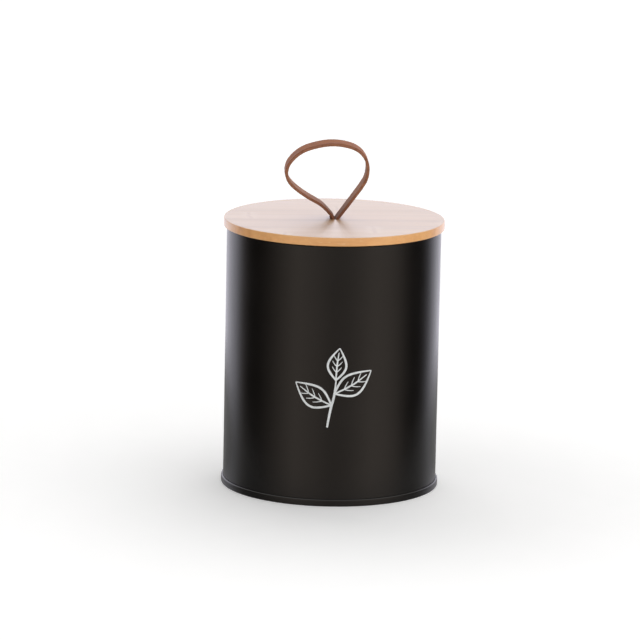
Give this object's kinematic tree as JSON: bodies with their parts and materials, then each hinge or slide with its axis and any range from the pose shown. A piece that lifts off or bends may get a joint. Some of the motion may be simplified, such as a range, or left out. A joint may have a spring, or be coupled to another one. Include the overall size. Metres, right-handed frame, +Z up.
{
  "type": "tea canister",
  "caption": "Round sheet-steel canister with a rolled base seam and a turned-in rim, closed by a bamboo plug lid with a soft seal ring and a leather pull loop.",
  "frame": {"origin": "middle of the round base, on the surface that the canister stands on", "axes": "+Z up through the lid, -Y to the front, +X to the right; the pull loop lies in the XZ plane and the wall's lock seam is at the back, at +Y"},
  "size_m": [0.1132, 0.1132, 0.1791],
  "materials": {
    "powder_coat": "satin black powder coat",
    "bamboo": "clear satin varnish",
    "bamboo_plug": "sanded, thin oil",
    "silicone": "translucent soft silicone",
    "leather": "tan, waxed, with burnished edges",
    "plated_steel": "zinc plated"
  },
  "bodies": {
    "canister": {"body_wall": "powder_coat", "base_end": "powder_coat"},
    "lid": {"lid_disc": "bamboo", "lid_plug": "bamboo_plug", "seal_ring": "silicone", "strap": "leather", "strap_washers": "plated_steel", "strap_screws": "plated_steel"}
  },
  "joints": [
    {"name": "lid_lift", "type": "slide", "parent": "canister", "child": "lid", "axis": [0, 0, 1], "range_m": [0, 0.08]}
  ]
}
